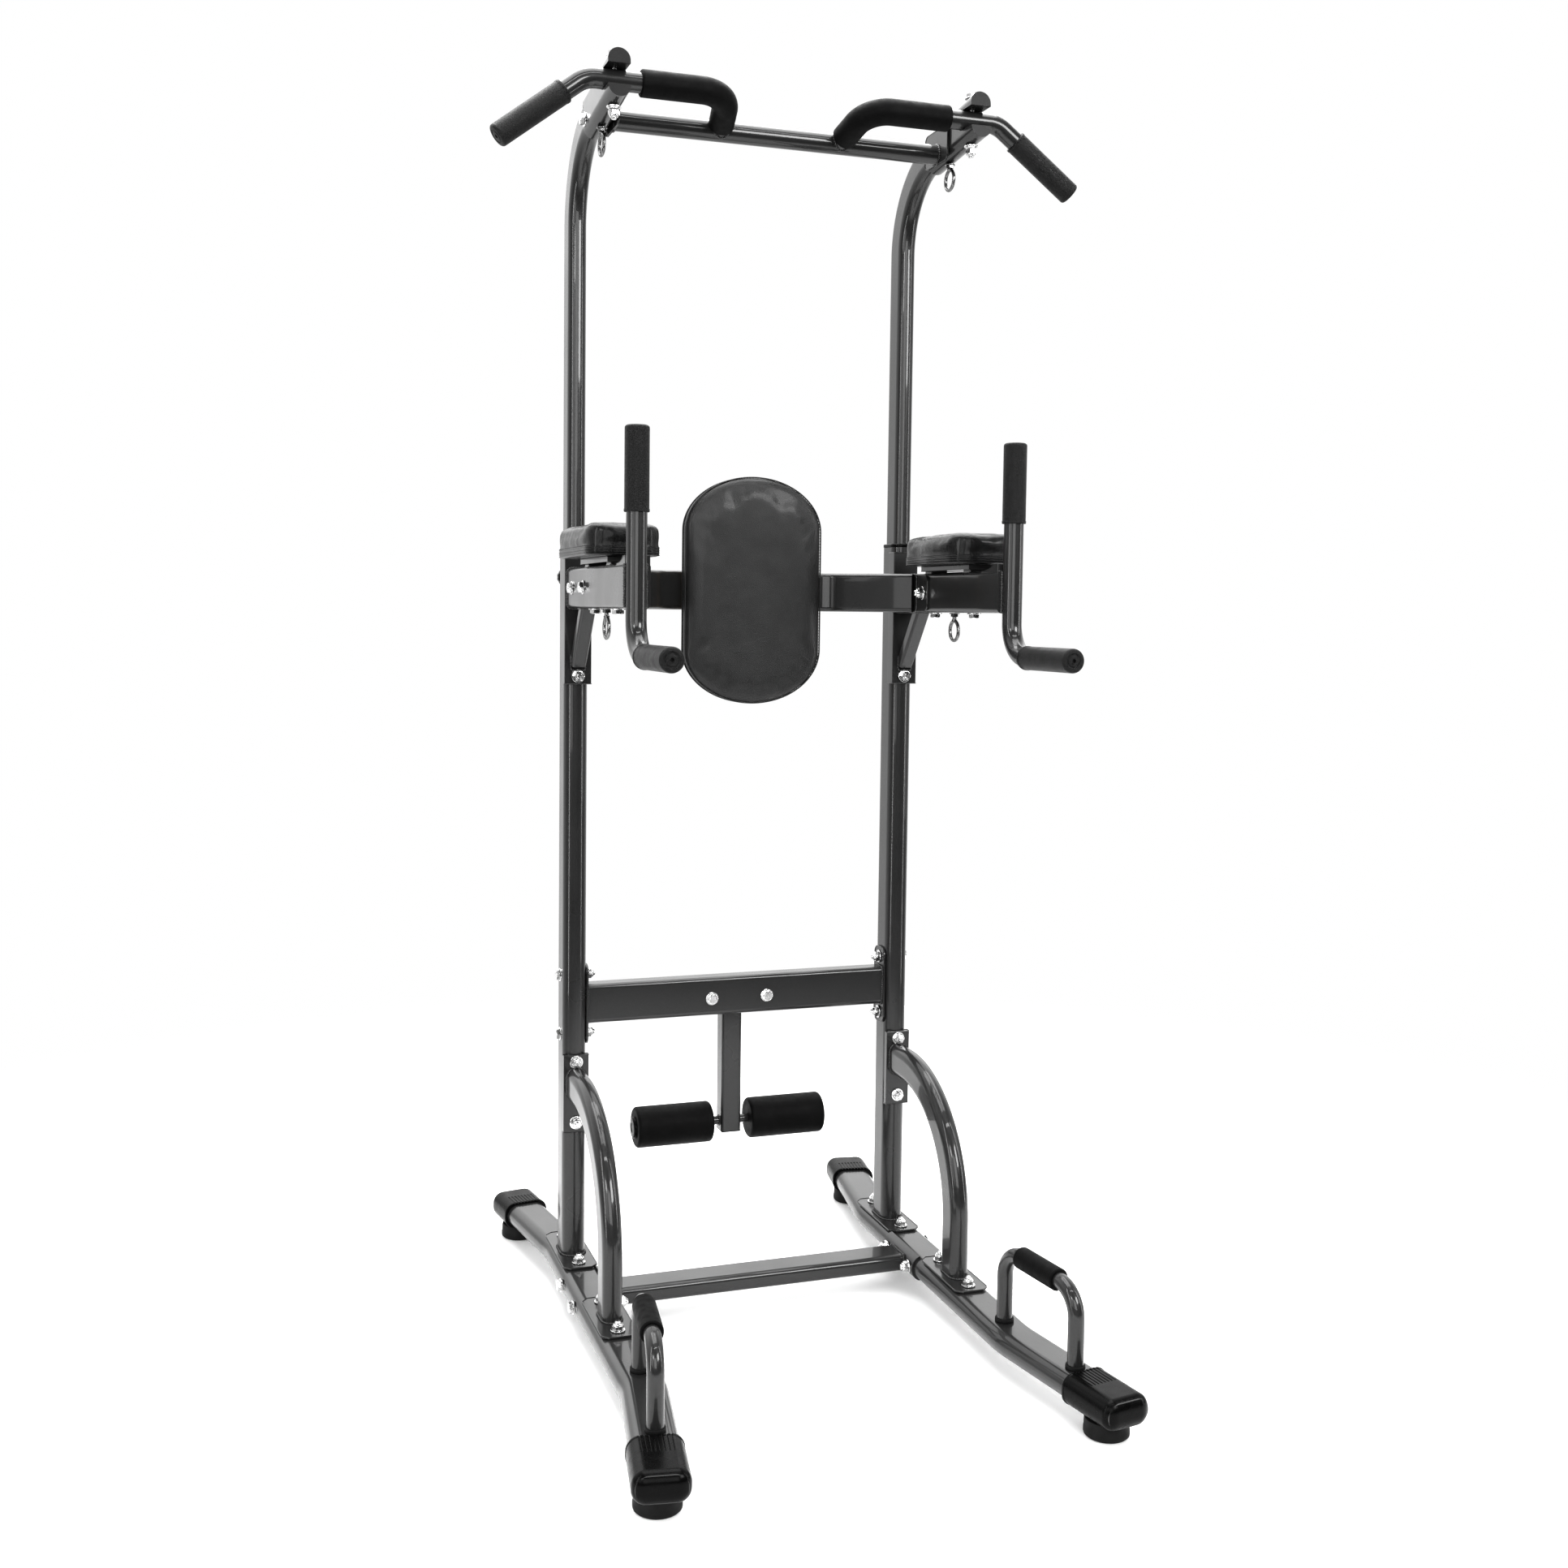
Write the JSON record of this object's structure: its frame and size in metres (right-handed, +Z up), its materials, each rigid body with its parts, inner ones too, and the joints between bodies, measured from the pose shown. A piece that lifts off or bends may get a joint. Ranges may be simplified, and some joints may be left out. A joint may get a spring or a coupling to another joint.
{
  "type": "power tower",
  "caption": "Steel exercise tower with padded back and arm rests, dip handles, push-up handles, foam sit-up rollers and a telescoping top with pull-up bars.",
  "frame": {"origin": "middle of the base on the floor, under the centre of the bounding box", "axes": "+Z up; the user stands on the -Y side and faces +Y; +X to the right in the picture; X = 0 is the plane of symmetry"},
  "size_m": [1.0178, 1.1928, 2.1141],
  "materials": {
    "frame_paint": "glossy charcoal powder coat with fine metallic flake",
    "black_plastic": "black moulded plastic",
    "rubber": "matte black rubber",
    "pebbled_rubber": "pebble-grained black rubber",
    "foam": "satin black closed-cell foam",
    "leatherette": "black grained leatherette over foam",
    "plywood": "raw plywood edge",
    "zinc": "bright zinc-plated steel"
  },
  "bodies": {
    "base_frame": {"arm_eye_bolt_left": "zinc", "arm_eye_bolt_right": "zinc", "arm_left": "frame_paint", "arm_pad_left": "leatherette", "arm_pad_right": "leatherette", "arm_right": "frame_paint", "back_beam": "frame_paint", "back_pad": "leatherette", "back_pad_board": "plywood", "base_crossbeam": "frame_paint", "base_rail_left": "frame_paint", "base_rail_right": "frame_paint", "brace_left": "frame_paint", "brace_right": "frame_paint", "dip_grip_left": "pebbled_rubber", "dip_grip_right": "pebbled_rubber", "dip_handle_left": "frame_paint", "dip_handle_right": "frame_paint", "foot_front_left": "rubber", "foot_front_right": "rubber", "foot_rear_left": "rubber", "foot_rear_right": "rubber", "front_cap_left": "black_plastic", "front_cap_right": "black_plastic", "hand_grip_left": "pebbled_rubber", "hand_grip_right": "pebbled_rubber", "height_bushing_left": "black_plastic", "height_bushing_right": "black_plastic", "lower_upright_left": "frame_paint", "lower_upright_right": "frame_paint", "middle_crossbeam": "frame_paint", "push_up_grip_left": "foam", "push_up_grip_right": "foam", "push_up_handle_left": "frame_paint", "push_up_handle_right": "frame_paint", "rear_cap_left": "black_plastic", "rear_cap_right": "black_plastic", "roller_post": "frame_paint"},
    "upper_frame": {"clamp_bolt_left": "zinc", "clamp_bolt_right": "zinc", "foam_grip_left": "foam", "foam_grip_right": "foam", "pull_up_bar_left": "frame_paint", "pull_up_bar_right": "frame_paint", "top_crossbar": "frame_paint", "top_eye_bolt_left": "zinc", "top_eye_bolt_right": "zinc", "top_sleeve_left": "frame_paint", "top_sleeve_right": "frame_paint", "upper_upright_left": "frame_paint", "upper_upright_right": "frame_paint", "wide_grip_left": "pebbled_rubber", "wide_grip_right": "pebbled_rubber"},
    "lock_pin_left": {"lock_knob_left": "black_plastic"},
    "lock_pin_right": {"lock_knob_right": "black_plastic"},
    "roller_left": {"foam_roller_left": "foam", "roller_end_cap_left": "black_plastic"},
    "roller_right": {"foam_roller_right": "foam", "roller_end_cap_right": "black_plastic"}
  },
  "joints": [
    {"name": "height_adjust", "type": "slide", "parent": "base_frame", "child": "upper_frame", "axis": [0, 0, 1], "range_m": [-0.25, 0]},
    {"name": "lock_pin_left_slide", "type": "slide", "parent": "base_frame", "child": "lock_pin_left", "axis": [0, 1, 0], "range_m": [-0.01, 0]},
    {"name": "lock_pin_right_slide", "type": "slide", "parent": "base_frame", "child": "lock_pin_right", "axis": [0, 1, 0], "range_m": [-0.01, 0]},
    {"name": "roller_left_spin", "type": "hinge", "parent": "base_frame", "child": "roller_left", "pos_m": [-0.11, 0.2798, 0.276], "axis": [1, 0, 0], "continuous": true},
    {"name": "roller_right_spin", "type": "hinge", "parent": "base_frame", "child": "roller_right", "pos_m": [0.11, 0.2798, 0.276], "axis": [1, 0, 0], "continuous": true}
  ]
}
